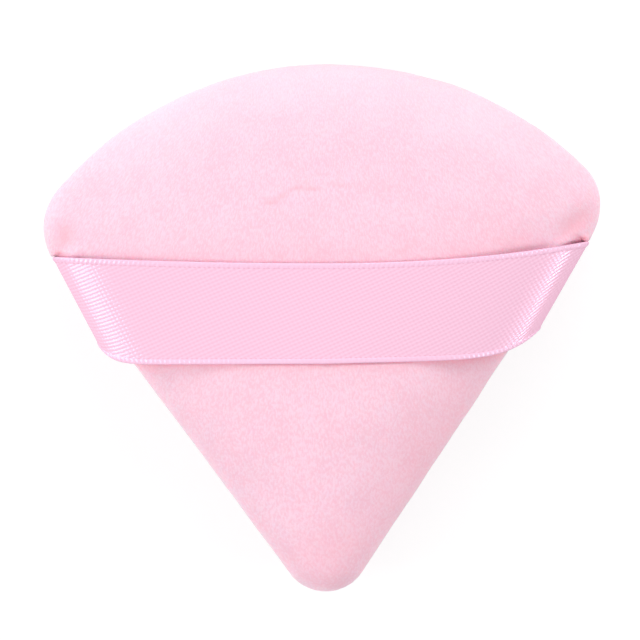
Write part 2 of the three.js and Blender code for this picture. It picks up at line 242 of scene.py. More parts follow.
# Finishes, in metres and waves per metre as shaders count. The pile fans out from a point above the top.
NAP_FAN = 0.07
NAP_STRETCH = (1, 0.42, 1)
NAP_STROKES = {"scale": 4800, "detail": 3}
NAP_FINE = {"scale": 9000, "detail": 2}
NAP_PATCHES = {"scale": 260, "detail": 2}
NAP_TONE = {"strokes": 0.6, "fine": 0.25, "patches": 0.15, "range": (0.43, 0.57)}
NAP_BUMP = {"strokes": 0.7, "fine": 0.3, "strength": 0.6, "height": 0.00008}
VELOUR_FINISH = {
    "Roughness": 0.95, "Specular_IOR_Level": 0.15, "Sheen_Weight": 0.5, "Sheen_Roughness": 0.5,
    "Sheen_Tint": VELOUR_SHEEN, "Subsurface_Weight": 0.4, "Subsurface_Radius": (1, 0.35, 0.45),
    "Subsurface_Scale": 0.0009,
}
FLOAT_TONE = (-0.9, 0.6)
FLOAT_BUMP = {"strength": 0.6, "height": 0.00001}
SATIN_ROUGHNESS = 0.24
SELVEDGE_ROUGHER = 0.06
SATIN_FINISH = {
    "Metallic": 0.105, "IOR": 1.02, "Specular_Tint": SATIN_EDGE, "Anisotropic": 0.7,
    "Anisotropic_Rotation": 0.25,
}
SPONGE_CELLS = {"scale": 1400, "shade": (0.1, 0.6), "strength": 0.8, "height": 0.0002}
SPONGE_ROUGHNESS = 0.9
THREAD_TWIST = {"scale": 900, "distortion": 1.5, "strength": 0.6, "height": 0.00006}
THREAD_ROUGHNESS = 0.5

# The photograph's frame: its width in millimetres at the height of the seam, and its middle on the part.
FRAME_WIDTH = 80.58
FRAME_MIDDLE = (-0.25, 1.0)
LENS = 300
SENSOR = 36
CLIP = (0.01, 20)

# Light: name, azimuth, elevation, distance in metres, size and power. The floor's size is in metres too.
WHITE = (1, 1, 1, 1)
WORLD_LEVEL = 0.47
LAMPS = [
    ("key_lamp", 82, 36, 0.7, (0.5, 0.3), 2.3),
    ("left_lamp", 187, 28, 0.6, (0.3, 0.32), 1.97),
    ("right_lamp", 345, 29, 0.6, (0.22, 0.09), 1.1),
]
FLOOR_SIZE = 1.2
FLOOR_GLOW = 0.8
FLOOR_SHADED = (0.26, 0.26, 0.26, 1)
FLOOR_BOUNCE = (0.8, 0.8, 0.8, 1)


def arc(centre, radius, start, end, clockwise=False):
    """Points on a circle from one direction to another."""
    a = math.atan2(start[1], start[0])
    b = math.atan2(end[1], end[0])
    if clockwise and b > a:
        b -= math.tau
    if not clockwise and b < a:
        b += math.tau
    turns = np.linspace(a, b, ARC_POINTS)
    return np.asarray(centre) + radius * np.stack([np.cos(turns), np.sin(turns)], 1)


def bezier(a, b, c, d):
    """Points on a cubic curve from a to d."""
    t = np.linspace(0, 1, CURVE_POINTS)[:, None]
    return a * (1 - t) ** 3 + 3 * b * t * (1 - t) ** 2 + 3 * c * t**2 * (1 - t) + d * t**3


def side_of(name):
    """One side's outward normal, its lobe, the hollow below the lobe and the shoulder above it."""
    side = SIDES[name]
    sign, turn, end = side["sign"], math.radians(side["degrees"]), math.radians(side["end"])
    way = np.array([sign * math.sin(turn), math.cos(turn)])
    out = np.array([sign * math.cos(turn), -math.sin(turn)])
    radius, bulge = side["radius"], side["bulge"]
    lobe_out = TIP_RADIUS + bulge - radius
    widest = PUFF_WIDTH / 2 - sign * TIP_ACROSS
    along = (widest - radius - lobe_out * math.cos(turn)) / math.sin(turn)
    lobe = way * along + out * lobe_out
    apart = radius + WAIST_RADIUS
    down = math.sqrt(apart**2 - (apart - bulge) ** 2)
    waist = way * (along - down) + out * (TIP_RADIUS + WAIST_RADIUS)
    shoulder_out = np.array([sign * math.cos(end), math.sin(end)])
    shoulder = lobe + shoulder_out * radius
    pull = shoulder + SHOULDER_PULL * np.array([-sign * shoulder_out[1], sign * shoulder_out[0]])
    return {"out": out, "along": along, "lobe": lobe, "radius": radius, "waist": waist,
            "to_lobe": lobe - waist, "shoulder_out": shoulder_out, "shoulder": shoulder, "pull": pull}


def outline():
    """The plan outline, anticlockwise from the foot of the left side, as evenly spaced points."""
    left, right = side_of("left"), side_of("right")
    crest = np.array([CREST_ACROSS, PUFF_LENGTH - TIP_RADIUS])
    level = np.array([CREST_PULL, 0])
    tip = arc((0, 0), TIP_RADIUS, left["out"], right["out"])
    path = np.vstack([
        tip,
        arc(right["waist"], WAIST_RADIUS, -right["out"], right["to_lobe"], True),
        arc(right["lobe"], right["radius"], -right["to_lobe"], right["shoulder_out"]),
        bezier(right["shoulder"], right["pull"], crest + level, crest),
        bezier(crest, crest - level, left["pull"], left["shoulder"]),
        arc(left["lobe"], left["radius"], left["shoulder_out"], -left["to_lobe"]),
        arc(left["waist"], WAIST_RADIUS, left["to_lobe"], -left["out"], True),
        tip[:1],
    ])
    steps = np.linalg.norm(np.diff(path, axis=0), axis=1)
    runs = np.concatenate([[0], np.cumsum(steps)])
    even = np.linspace(0, runs[-1], OUTLINE_POINTS, endpoint=False)
    points = np.stack([np.interp(even, runs, path[:, k]) for k in (0, 1)], 1)
    tip_length = np.linalg.norm(np.diff(tip, axis=0), axis=1).sum()
    return even, points, runs[-1], tip_length


RUNS, RIM, RIM_LENGTH, TIP_LENGTH = outline()
TANGENTS = np.roll(RIM, -1, 0) - np.roll(RIM, 1, 0)
TANGENTS /= np.linalg.norm(TANGENTS, axis=1)[:, None]
MIDDLE = (RIM.max(0) + RIM.min(0)) / 2
REACH = {name: side_of(name)["along"] + RISE[name] for name in SIDES}


def on_rim(run, table):
    """A value of the rim's points at a run along it."""
    return np.stack([np.interp(run, RUNS, table[:, k], period=RIM_LENGTH) for k in (0, 1)], -1)


def inward_at(run):
    """The way into the puff, square to the rim."""
    tangent = on_rim(run, TANGENTS)
    return np.stack([-tangent[..., 1], tangent[..., 0]], -1)


def smoothstep(x, low, high):
    """Nothing up to low, one from high on, and a smooth rise between."""
    t = np.clip((x - low) / (high - low), 0, 1)
    return t * t * (3 - 2 * t)


def caught_share(run, face="front"):
    """One along the stretches of seam that hold the ribbon, falling to nothing beside them."""
    def spanned(reach, upper):
        low = upper - RIBBON_WIDTH
        rise = smoothstep(reach, low - PINCH_FADE_BELOW, low)
        return rise * (1 - smoothstep(reach, upper, upper + PINCH_FADE_ABOVE[face]))

    run = np.mod(run, RIM_LENGTH)
    return spanned(run - TIP_LENGTH, REACH["right"]) + spanned(RIM_LENGTH - run, REACH["left"])


def evened_lengths():
    """Runs round the rolled edge, and its distance from the crown's centre with the hollows evened out."""
    run = np.linspace(0, RIM_LENGTH, EVENING_POINTS, endpoint=False)
    spoke = on_rim(run, RIM) + inward_at(run) * EDGE_ROLL - CROWN_CENTRE
    size = np.linalg.norm(spoke, axis=1)
    cosine = (spoke @ spoke.T) / np.outer(size, size)
    turn = np.arccos(np.clip(cosine, -1, 1)) / math.radians(EVENING_DEGREES)
    nearness = np.exp(-(turn**2))
    return run, nearness @ size / nearness.sum(1)


EVEN_RUNS, EVEN_LENGTHS = evened_lengths()


def plan_place(run, depth, face="front"):
    """Where a point that far in from the edge lies: square in at first, then towards the crown's centre."""
    rolled = np.minimum(depth, EDGE_ROLL)
    drawn = PINCH * caught_share(run, face) * (1 - rolled / EDGE_ROLL)
    crown_radius = CROWN_DEPTH - EDGE_ROLL
    share = np.clip((depth - EDGE_ROLL) / crown_radius, 0, 1)
    spoke = on_rim(run, RIM) + inward_at(run) * (rolled + drawn)[..., None] - CROWN_CENTRE
    size = np.linalg.norm(spoke, axis=-1)
    even = np.interp(run, EVEN_RUNS, EVEN_LENGTHS, period=RIM_LENGTH)
    reach = size + (even - size) * smoothstep(depth, EDGE_ROLL, EVEN_DEPTH)
    length = (reach + (crown_radius - reach) * share) * (1 - share)
    return CROWN_CENTRE + spoke * (length / size)[..., None]


def dome(crown, level_depth):
    """A cover's outer face from its lip to the crown, as depth and height above the seam."""
    turn = np.linspace(0, math.pi / 2, DOME_POINTS)
    depth = level_depth * (1 - np.cos(turn))
    height = LIP_HEIGHT + (crown - LIP_HEIGHT) * np.sin(turn)
    if level_depth < CROWN_DEPTH:
        depth = np.append(depth, CROWN_DEPTH)
        height = np.append(height, crown)
    return np.stack([depth, height], 1)


def moved_in(face, thickness):
    """A face moved in square to itself."""
    way = np.gradient(face, axis=0)
    way /= np.linalg.norm(way, axis=1)[:, None]
    moved = face + thickness * np.stack([way[:, 1], -way[:, 0]], 1)
    moved[-1] = [CROWN_DEPTH, face[-1, 1] - thickness]
    return moved


def cover_profiles(crown, level_depth):
    """The cover's outer face from the seam allowance's edge to the crown, and its lining back again."""
    face = dome(crown, level_depth)
    mouth = SEAM_GAP / 2
    turn = np.linspace(math.pi / 2, 0, LIP_POINTS)[:-1]
    lip_depth = SEAM_RECESS * (1 - np.cos(turn))
    lip_height = LIP_HEIGHT + (mouth - LIP_HEIGHT) * np.sin(turn)
    outer = np.vstack([[[SEAM_ALLOWANCE, mouth]], np.stack([lip_depth, lip_height], 1), face])
    inside = mouth + FABRIC
    lining = moved_in(face, FABRIC)
    lining = lining[(lining[:, 1] > inside) & (lining[:, 0] <= CROWN_DEPTH)]
    turned = [[SEAM_ALLOWANCE, mouth], [SEAM_ALLOWANCE, inside], [lining[0, 0], inside]]
    return outer, np.vstack([turned, lining])


def along_profile(profile, share, hidden=1.0):
    """Depth and height at a share of a profile's length, with its hidden first step counted short."""
    steps = np.linalg.norm(np.diff(profile, axis=0), axis=1)
    steps[0] *= hidden
    runs = np.concatenate([[0], np.cumsum(steps)])
    return [np.interp(share * runs[-1], runs, profile[:, k]) for k in (0, 1)]


def disc_grid(count):
    """A square grid bent into a disc: each point's distance from the edge as a share, and its run."""
    ticks = np.linspace(-1, 1, count + 1)
    a, b = np.meshgrid(ticks, ticks, indexing="ij")
    wide = np.abs(a) > np.abs(b)
    radius = np.where(wide, a, b)
    safe_a = np.where(a == 0, 1, a)
    safe_b = np.where(b == 0, 1, b)
    turn = np.where(wide, math.pi / 4 * b / safe_a, math.pi / 2 - math.pi / 4 * a / safe_b)
    turn = np.where(radius < 0, turn + math.pi, turn)
    tip_turn = 1.5 * math.pi
    run = TIP_LENGTH / 2 + (turn - tip_turn) / math.tau * RIM_LENGTH
    return 1 - np.abs(radius), np.mod(run, RIM_LENGTH)


def grid_faces(count):
    """Quads of a square grid, anticlockwise."""
    first = np.arange(count * (count + 1)).reshape(count, count + 1)[:, :-1].ravel()
    return np.stack([first, first + count + 1, first + count + 2, first + 1], 1)


def surface(count, profile, up, hidden=1.0):
    """A disc grid laid on a profile, and how free each point is. up is 1 above the seam and -1 below it."""
    share, run = disc_grid(count)
    depth, height = along_profile(profile, share, hidden)
    face = "front" if up > 0 else "back"
    mouth_open = 1 + caught_share(run, face) * (depth > 0) * (height < LIP_HEIGHT)
    place = plan_place(run, depth, face) - MIDDLE
    z = SEAM_Z + up * np.where(height < SEAM_GAP, height * mouth_open, height)
    free = smoothstep(depth, EASE_START, EASE_FULL) * (height > LIP_HEIGHT)
    return np.concatenate([place, z[..., None]], -1), free


def eased(field, free, passes):
    """A grid of points drawn even by its neighbours, more so the freer each point is."""
    field = field.copy()
    inner = field[1:-1, 1:-1]
    pull = free[1:-1, 1:-1, None]
    for _ in range(passes):
        around = (field[:-2, 1:-1] + field[2:, 1:-1] + field[1:-1, :-2] + field[1:-1, 2:]) / 4
        inner += pull * (around - inner)
    return field


def spread_out(field, count):
    """A coarse grid's values at the points of a finer grid of the same sheet."""
    coarse = np.linspace(0, count, field.shape[0])
    fine = np.arange(count + 1)
    rows = np.apply_along_axis(lambda line: np.interp(fine, coarse, line), 0, field)
    return np.apply_along_axis(lambda line: np.interp(fine, coarse, line), 1, rows)


def cloth_swell(points, held, up):
    """How far each point of a coarse cover moves when the sponge presses it out from inside."""
    start = points.copy()
    start[..., 2] = (start[..., 2] - SEAM_Z) * np.where(held, 1, CLOTH_START)
    faces = grid_faces(CLOTH_GRID)[:, ::up]
    mesh = bpy.data.meshes.new("swelling")
    mesh.from_pydata((start.reshape(-1, 3) * MM * CLOTH_SCALE).tolist(), [], faces.tolist())
    body = bpy.data.objects.new("swelling", mesh)
    scene = bpy.context.scene
    scene.collection.objects.link(body)
    pins = body.vertex_groups.new(name="seam")
    pins.add(np.flatnonzero(held.ravel()).tolist(), 1.0, "REPLACE")
    cloth = body.modifiers.new("cloth", "CLOTH")
    cloth.settings.vertex_group_mass = "seam"
    cloth.settings.use_pressure = True
    cloth.settings.uniform_pressure_force = CLOTH_PRESSURE["front" if up > 0 else "back"]
    cloth.settings.effector_weights.gravity = 0
    cloth.point_cache.frame_start = 1
    cloth.point_cache.frame_end = CLOTH_FRAMES
    for step in range(1, CLOTH_FRAMES + 1):
        scene.frame_set(step)
    swollen = body.evaluated_get(bpy.context.evaluated_depsgraph_get()).to_mesh()
    made = np.zeros(start.size, np.float32)
    swollen.vertices.foreach_get("co", made)
    made = made.reshape(start.shape) / (MM * CLOTH_SCALE)
    bpy.data.objects.remove(body)
    bpy.data.meshes.remove(mesh)
    scene.frame_set(1)
    made[..., 2] += SEAM_Z
    moved = made - points
    far = np.linalg.norm(moved, axis=-1, keepdims=True)
    return moved * np.minimum(1, CLOTH_CAP / np.maximum(far, CLOTH_CAP))


def free_edge(edge):
    """One edge of the ribbon without its tucked ends."""
    tuck = len(tuck_of(caught_at("left", edge), edge))
    return edge_line(edge)[tuck:-tuck]


def under_ribbon(points):
    """The height that the pad may rise to: just short of the ribbon, and higher beside it."""
    upper, lower = free_edge("upper"), free_edge("lower")
    x, y = points[..., 0], points[..., 1]
    tops = [np.interp(x, line[:, 0], line[:, 1]) for line in (upper, lower)]
    heights = [np.interp(x, line[:, 0], line[:, 2]) for line in (upper, lower)]
    across = (tops[0] - y) / (tops[0] - tops[1])
    beside = np.maximum(0, np.maximum(-across, across - 1)) * RIBBON_WIDTH
    ribbon = heights[0] + (heights[1] - heights[0]) * np.clip(across, 0, 1)
    return ribbon + beside - RIBBON_CLEAR - RIBBON_THICKNESS / 2


def padded_face(crown, profile, up):
    """A cover's outer face swollen over the sponge, its creases eased out and its crown at full height."""
    points, free = surface(COVER_GRID, profile, up, hidden=ALLOWANCE_SHARE)
    points = eased(points, free, EASE_PASSES)
    step = COVER_GRID // CLOTH_GRID
    moved = cloth_swell(points[::step, ::step], free[::step, ::step] == 0, up)
    moved = eased(spread_out(moved, COVER_GRID), np.ones_like(free), CLOTH_PASSES)
    points = points + moved * free[..., None]
    rise = up * (points[..., 2] - SEAM_Z)
    if up > 0:
        share = np.clip((rise - LIP_HEIGHT) / (rise.max() - LIP_HEIGHT), 0, 1)
        fuller = 1 + FULLNESS * (1 - smoothstep(points[..., 1], *FULL_BELOW))
        full = LIP_HEIGHT + (crown - LIP_HEIGHT) * (1 - (1 - share) ** fuller)
        rise = np.where(share > 0, full, rise)
    points[..., 2] = SEAM_Z + up * np.minimum(rise, crown)
    if up > 0:
        limit = np.where(free > 0, under_ribbon(points), np.inf)
        points[..., 2] = np.minimum(points[..., 2], limit)
    return points


def grid_normals(points):
    """Unit normals of a grid of points."""
    normal = np.cross(np.gradient(points, axis=0), np.gradient(points, axis=1))
    return normal / np.maximum(np.linalg.norm(normal, axis=-1), TINY)[..., None]


def pile_relief(points, seed):
    """Height of the velour's nap at each point: short strokes along the pile and slow unevenness."""
    shift = seed * NAP_SHIFT
    strokes = points / NAP_STROKE_SIZE + shift
    slow = points / NAP_WAVE_SIZE + shift
    relief = [NAP_STROKE * noise.noise(p) for p in strokes.reshape(-1, 3)]
    waves = [NAP_WAVE * noise.noise(p) for p in slow.reshape(-1, 3)]
    return (np.array(relief) + np.array(waves)).reshape(points.shape[:-1])


def marks_sum(points, kind):
    """The marks' heights, or their painted shading, at each point of the front."""
    total = np.zeros(points.shape[:-1])
    for mark in MARKS:
        turn = math.radians(mark["turn"])
        x = points[..., 0] - mark["at"][0]
        y = points[..., 1] - mark["at"][1]
        along = (x * math.cos(turn) + y * math.sin(turn)) / mark["spread"][0]
        across = (y * math.cos(turn) - x * math.sin(turn)) / mark["spread"][1]
        total += mark[kind] * np.exp(-(along**2 + across**2))
    return total


def painted_shading_at(points):
    """Painted shade from the marks and at the ribbon's lower edge, or painted light where the sum is below
    nothing.
    """
    edge = free_edge("lower")
    below = np.interp(points[..., 0], edge[:, 0], edge[:, 1]) - points[..., 1]
    under = np.exp(-((below / RIBBON_WIDTH) ** CONTACT_SQUARENESS))
    near = np.where(below < 0, under, np.exp(-below / CONTACT_FADE))
    inside = 1 - smoothstep(np.abs(points[..., 0]), *CONTACT_ENDS)
    inside *= smoothstep(points[..., 2] - SEAM_Z, LIP_HEIGHT, 2 * LIP_HEIGHT)
    return np.clip(marks_sum(points, "painted_shading") + CONTACT_SHADE * near * inside, -1, 1)


def new_piece(name, vertices, faces, material):
    """A smooth mesh piece from millimetre vertices."""
    mesh = bpy.data.meshes.new(name)
    corners = [list(map(int, face)) for face in faces]
    mesh.from_pydata((np.asarray(vertices) * MM).tolist(), [], corners)
    mesh.validate()
    mesh.shade_smooth()
    mesh.materials.append(material)
    piece = bpy.data.objects.new(name, mesh)
    bpy.context.scene.collection.objects.link(piece)
    return piece


def lining_faces(count, step, outer_count, first):
    """Faces of the coarse lining. Its rim is every step-th point of the outer grid's rim."""
    def point(i, j):
        if 0 < i < count and 0 < j < count:
            return first + (i - 1) * (count - 1) + (j - 1)
        return i * step * (outer_count + 1) + j * step

    def edge(a, b):
        ends = [point(*a)]
        on_side = any(a[k] == b[k] and a[k] in (0, count) for k in (0, 1))
        if on_side:
            fine_a, fine_b = [(i * step * (outer_count + 1) + j * step) for i, j in (a, b)]
            ends += list(range(fine_a, fine_b, (fine_b - fine_a) // step))[1:]
        return ends

    faces = []
    for i in range(count):
        for j in range(count):
            corners = [(i, j), (i, j + 1), (i + 1, j + 1), (i + 1, j)]
            faces.append(sum((edge(corners[k], corners[(k + 1) % 4]) for k in range(4)), []))
    return faces


def cover(name, crown, level_depth, up, relief, material, painted_shading=None):
    """One velour cover: its napped outer face, the turned-in seam allowance and the lining."""
    outer_profile, lining_profile = cover_profiles(crown, level_depth)
    outer = padded_face(crown, outer_profile, up)
    normals = grid_normals(outer) * up
    outer = outer + normals * relief(outer)[..., None]
    outer[..., 2] = np.maximum(outer[..., 2], 0)
    lining = surface(LINING_GRID, lining_profile, up)[0][1:-1, 1:-1]
    vertices = np.vstack([outer.reshape(-1, 3), lining.reshape(-1, 3)])
    faces = grid_faces(COVER_GRID).tolist()
    faces += lining_faces(LINING_GRID, COVER_GRID // LINING_GRID, COVER_GRID, outer[..., 0].size)
    if up < 0:
        faces = [face[::-1] for face in faces]
    piece = new_piece(name, vertices, faces, material)
    # The outer face's painted shade and painted light, kept for the velour's colour.
    share = np.zeros(len(vertices), np.float32)
    if painted_shading:
        share[: outer[..., 0].size] = painted_shading(outer).ravel()
    piece.data.attributes.new("painted_shading", "FLOAT", "POINT").data.foreach_set("value", share)
    return piece


def front_relief(points):
    """Nap and marks of the front, fading out in the seam."""
    open_face = smoothstep(points[..., 2], SEAM_Z + SEAM_GAP, SEAM_Z + LIP_HEIGHT)
    return open_face * (pile_relief(points, NAP_SEED["front"]) + marks_sum(points, "rise"))


def back_relief(points):
    """Nap of the back, fading out in the seam."""
    open_face = smoothstep(-points[..., 2], SEAM_GAP - SEAM_Z, LIP_HEIGHT - SEAM_Z)
    return open_face * pile_relief(points, NAP_SEED["back"])


def sponge(material):
    """The sponge: both crowns moved in past the velour, joined where the seam allowance stops it."""
    halves = []
    side = SEAM_ALLOWANCE + SEAM_GAP
    for crown, level_depth, up in ((FRONT_CROWN, CROWN_DEPTH, 1), (BACK_CROWN, REST_FACE_DEPTH, -1)):
        face = moved_in(dome(crown, level_depth), FABRIC + SPONGE_EASE)
        height = np.interp(side, face[:, 0], face[:, 1])
        inside = face[(face[:, 0] > side) & (face[:, 0] <= CROWN_DEPTH)]
        profile = np.vstack([[[side, 0], [side, height]], inside])
        points, _ = surface(SPONGE_GRID, profile, up)
        pores = [PORE_RELIEF * noise.noise(p / PORE_SIZE) for p in points.reshape(-1, 3)]
        relief = np.array(pores).reshape(points.shape[:-1])
        relief[[0, -1], :] = 0
        relief[:, [0, -1]] = 0
        halves.append(points + grid_normals(points) * up * relief[..., None])
    faces = grid_faces(SPONGE_GRID)
    rim = np.zeros((SPONGE_GRID + 1, SPONGE_GRID + 1), bool)
    rim[[0, -1], :] = True
    rim[:, [0, -1]] = True
    shared = np.where(rim.ravel(), np.arange(rim.size), rim.size + np.cumsum(~rim.ravel()) - 1)
    vertices = np.vstack([halves[0].reshape(-1, 3), halves[1].reshape(-1, 3)[~rim.ravel()]])
    faces = np.vstack([faces, shared[faces][:, ::-1]])
    return new_piece("sponge", vertices, faces, material)


def tube(name, path, radius, material, closed):
    """A round thread along a path of points."""
    sides = THREAD_SIDES
    way = np.roll(path, -1, 0) - np.roll(path, 1, 0)
    if not closed:
        way[0] = path[1] - path[0]
        way[-1] = path[-1] - path[-2]
    way /= np.linalg.norm(way, axis=1)[:, None]
    side = np.cross(way, [0, 0, 1])
    side /= np.linalg.norm(side, axis=1)[:, None]
    top = np.cross(side, way)
    turns = np.arange(sides) / sides * math.tau
    across = side[:, None] * np.cos(turns)[None, :, None]
    rings = path[:, None] + radius * (across + top[:, None] * np.sin(turns)[None, :, None])
    count = len(path)
    faces = []
    for i in range(count if closed else count - 1):
        a, b = i * sides, (i + 1) % count * sides
        faces += [[a + k, a + (k + 1) % sides, b + (k + 1) % sides, b + k] for k in range(sides)]
    if not closed:
        faces.append(list(range(sides))[::-1])
        faces.append(list(range((count - 1) * sides, count * sides)))
    return new_piece(name, rings.reshape(-1, 3), faces, material)


def seam_thread(name, up, material):
    """One thread of the lockstitched seam: it lies on the seam allowance and dips in at each stitch."""
    stitches = round(RIM_LENGTH / STITCH_PITCH)
    run = np.linspace(0, RIM_LENGTH, stitches * STITCH_POINTS, endpoint=False)
    dip = np.abs(np.cos(run / RIM_LENGTH * stitches * math.pi)) ** STITCH_DIP_POWER
    lying = SEAM_GAP / 2 + FABRIC + THREAD_RADIUS
    place = plan_place(run, np.full_like(run, SEAM_ALLOWANCE - 2 * THREAD_RADIUS)) - MIDDLE
    z = SEAM_Z + up * (lying - dip * FABRIC)
    return tube(name, np.column_stack([place, z]), THREAD_RADIUS, material, True)


def closing_stitches(material):
    """The hand-sewn ladder stitches that shut the turning opening, hidden in the seam's groove."""
    length = REACH["left"] - RIBBON_WIDTH - CLOSING_MARGIN - CLOSING_START
    reach = np.linspace(0, length, round(length / CLOSING_PITCH) * CLOSING_POINTS)
    run = RIM_LENGTH - CLOSING_START - reach
    swing = np.clip(CLOSING_SQUARENESS * np.sin(reach / CLOSING_PITCH * math.pi), -1, 1)
    place = plan_place(run, np.full_like(run, SEAM_RECESS - THREAD_RADIUS)) - MIDDLE
    z = SEAM_Z + swing * (SEAM_GAP / 2 + THREAD_RADIUS)
    return tube("closing_stitches", np.column_stack([place, z]), THREAD_RADIUS, material, False)


def caught_at(side, edge):
    """Where one ribbon edge is caught, the way out of the puff there, and how far the edge bulges out."""
    reach = REACH[side] + (CORNER_LIFT[side] if edge == "upper" else -RIBBON_WIDTH)
    run = TIP_LENGTH + reach if side == "right" else RIM_LENGTH - reach
    return on_rim(np.array(run), RIM), -inward_at(np.array(run)), BULGE[side][edge]


def out_from(caught, distance, height):
    """Points at distances out from where an edge is caught, and at heights above the seam."""
    at, out, _ = caught
    place = at + np.multiply.outer(distance, out) - MIDDLE
    return np.column_stack([place, SEAM_Z + height])


def tuck_of(caught, edge):
    """The tucked end of one edge, from below the foot into the seam."""
    turn = np.linspace(0, math.pi / 2, TUCK_POINTS)
    inner = SEAM_RECESS + PINCH
    distance = (caught[2] + inner) * np.cos(turn) - inner
    height = (FOOT_HEIGHT[edge] - FOOT_GAP) * (1 - np.sin(turn))
    distance = np.append(distance, SEAM_GAP - SEAM_ALLOWANCE)
    return out_from(caught, distance, np.append(height, 0))


def edge_line(edge):
    """One edge of the ribbon from the left seam over the crown to the right seam."""
    ends = [caught_at(name, edge) for name in SIDES]
    left_foot, right_foot = [out_from(end, [end[2]], FOOT_HEIGHT[edge])[0] for end in ends]
    turn = np.linspace(0, math.pi, ARCH_POINTS)
    power = 2 / STRAP_SQUARENESS[edge]
    side = -np.sign(np.cos(turn)) * np.abs(np.cos(turn)) ** power
    x = (left_foot[0] + right_foot[0]) / 2 + (right_foot[0] - left_foot[0]) / 2 * side
    across = RIBBON_WIDTH / 2 if edge == "upper" else -RIBBON_WIDTH / 2
    foot = np.where(side[:, None] < 0, left_foot, right_foot)
    tilt = np.where(side < 0, TILT["left"][edge], TILT["right"][edge])
    sweep = np.where(side < 0, SWEEP["left"][edge], SWEEP["right"][edge])
    level = STRAP_CENTRE_UP + across + tilt * (x + MIDDLE[0]) - MIDDLE[1]
    y = level + (foot[:, 1] - level) * np.abs(side) ** sweep
    crown = SEAM_Z + FRONT_CROWN + STANDOFF[edge]
    z = foot[:, 2] + (crown - foot[:, 2]) * np.abs(np.sin(turn)) ** power
    left_tuck, right_tuck = [tuck_of(end, edge) for end in ends]
    return np.vstack([left_tuck[::-1], np.column_stack([x, y, z]), right_tuck])


def weave_height(along, across):
    """Relief of the satin's floats and of the corded selvedges."""
    row = along / FLOAT_LENGTH + across * FLOAT_SLANT
    column = BINDING_STEP * row - across / WARP_PITCH
    floats = ROW_SHARE * np.cos(math.tau * row) + (1 - ROW_SHARE) * np.cos(math.tau * column)
    from_edge = np.minimum(across, RIBBON_WIDTH - across)
    bow = np.clip(1 - ((from_edge - SELVEDGE / 2) / (SELVEDGE / 2)) ** 2, 0, 1)
    ribs = 1 + RIB_DEPTH * np.cos(math.tau * (along / RIB_PITCH + from_edge / SELVEDGE * RIB_SLANT))
    return np.where(from_edge < SELVEDGE, SELVEDGE_RISE * np.sqrt(bow) * ribs, FLOAT_RELIEF * floats)


def ribbon_grid():
    """The ribbon's middle surface as rows across it, with each point's place along and across the weave."""
    upper, lower = edge_line("upper"), edge_line("lower")
    middle = (upper + lower) / 2
    runs = np.concatenate([[0], np.cumsum(np.linalg.norm(np.diff(middle, axis=0), axis=1))])
    half = int(np.argmin(np.abs(middle[:, 0])))
    steps = [round(runs[half] / RIBBON_STEP), round((runs[-1] - runs[half]) / RIBBON_STEP)]
    even = np.concatenate([np.linspace(0, runs[half], steps[0] + 1),
                           np.linspace(runs[half], runs[-1], steps[1] + 1)[1:]])
    upper, lower = [np.stack([np.interp(even, runs, line[:, k]) for k in range(3)], 1)
                    for line in (upper, lower)]
    v = np.linspace(0, 1, RIBBON_ACROSS + 1)
    points = upper[:, None] + (lower - upper)[:, None] * v[None, :, None]
    pace = np.linalg.norm(np.diff(points, axis=0), axis=2)
    along = np.concatenate([np.zeros((1, len(v))), np.cumsum(pace, axis=0)])
    along -= along[steps[0]]
    across = np.broadcast_to(v * RIBBON_WIDTH, along.shape)
    return points, along, across, steps[0]


def sharpen_ends(piece, ring, count):
    """Cut ends stay crisp, so that the two halves shade as one ribbon where they meet."""
    ends = np.zeros(2 * len(piece.data.edges), np.int32)
    piece.data.edges.foreach_get("vertices", ends)
    section = ends.reshape(-1, 2) // ring
    crisp = (section[:, 0] == section[:, 1]) & np.isin(section[:, 0], (0, count - 1))
    piece.data.attributes.new("sharp_edge", "BOOLEAN", "EDGE").data.foreach_set("value", crisp)
    for cap in (-1, -2):
        piece.data.polygons[cap].use_smooth = False


def ribbon_half(name, rows, material):
    """One half of the ribbon as a closed strip with woven relief on its face."""
    points, along, across, normals = rows
    top = points + normals * (RIBBON_THICKNESS / 2 + weave_height(along, across))[..., None]
    under_index = np.linspace(RIBBON_ACROSS, 0, RIBBON_UNDER + 1).round().astype(int)
    under = points[:, under_index] - normals[:, under_index] * RIBBON_THICKNESS / 2
    sections = np.concatenate([top, under], 1)
    count, ring = sections.shape[:2]
    k = np.arange(ring)
    faces = []
    for i in range(count - 1):
        a, b = i * ring, (i + 1) * ring
        faces += np.stack([a + k, a + (k + 1) % ring, b + (k + 1) % ring, b + k], 1).tolist()
    faces.append(list(range(ring))[::-1])
    faces.append(list(range((count - 1) * ring, count * ring)))
    piece = new_piece(name, sections.reshape(-1, 3), faces, material)
    sharpen_ends(piece, ring, count)
    weave = np.stack([np.concatenate([along, along[:, under_index]], 1),
                      np.concatenate([across, across[:, under_index]], 1),
                      np.zeros(sections.shape[:2])], -1).reshape(-1, 3)
    attribute = piece.data.attributes.new("weave", "FLOAT_VECTOR", "POINT")
    attribute.data.foreach_set("vector", weave.astype(np.float32).ravel())
    corners = np.zeros(len(piece.data.loops), np.int32)
    piece.data.loops.foreach_get("vertex_index", corners)
    cloth = weave[corners, :2] / RIBBON_WIDTH
    piece.data.uv_layers.new(name="weave_map").data.foreach_set("uv", cloth.astype(np.float32).ravel())
    return piece


